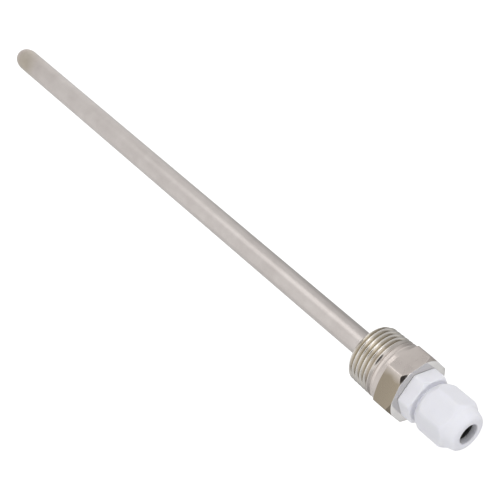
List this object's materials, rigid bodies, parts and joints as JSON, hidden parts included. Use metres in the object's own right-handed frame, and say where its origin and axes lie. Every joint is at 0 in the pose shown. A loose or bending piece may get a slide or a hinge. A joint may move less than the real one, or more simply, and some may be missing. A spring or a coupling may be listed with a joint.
{
  "type": "thermowell",
  "caption": "Closed stainless tube welded into a hexagon fitting with a tapered pipe thread, with a screwed plastic gland for the sensor's lead.",
  "frame": {"origin": "on the axis, at the hand-tight gauge plane of the tapered thread, 8.13 mm from the thread's small end", "axes": "+Z along the axis from the closed tip towards the gland and the lead's way out; two of the fitting's flats face +X and -X"},
  "size_m": [0.022, 0.025, 0.2545],
  "materials": {
    "tube": "drawn stainless tube, satin",
    "tip": "stainless, straw and brown heat tint from welding",
    "weld": "weld bead, brushed clean",
    "fitting": "turned stainless, satin with a warm cast",
    "gland": "moulded light grey polyamide, satin",
    "insert": "moulded light grey polyamide, satin",
    "seal": "matt black rubber",
    "nut": "moulded light grey polyamide, satin"
  },
  "bodies": {
    "well": {"probe_tube": "tube", "end_cap": "tip", "tube_weld": "weld", "hex_fitting": "fitting", "gland_body": "gland"},
    "clamp": {"clamping_insert": "insert", "seal_sleeve": "seal"},
    "nut": {"dome_nut": "nut"}
  },
  "joints": [
    {"name": "clamp_lift", "type": "slide", "parent": "well", "child": "clamp", "axis": [0, 0, 1], "range_m": [0, 0.006]},
    {"name": "nut_turn", "type": "hinge", "parent": "clamp", "child": "nut", "pos_m": [0, 0, 0.03], "axis": [0, 0, 1], "range_deg": [0, 1440]}
  ],
  "couplings": [
    {"joint": "clamp_lift", "follows": "nut_turn", "m_per_rad": 0.00023873}
  ]
}
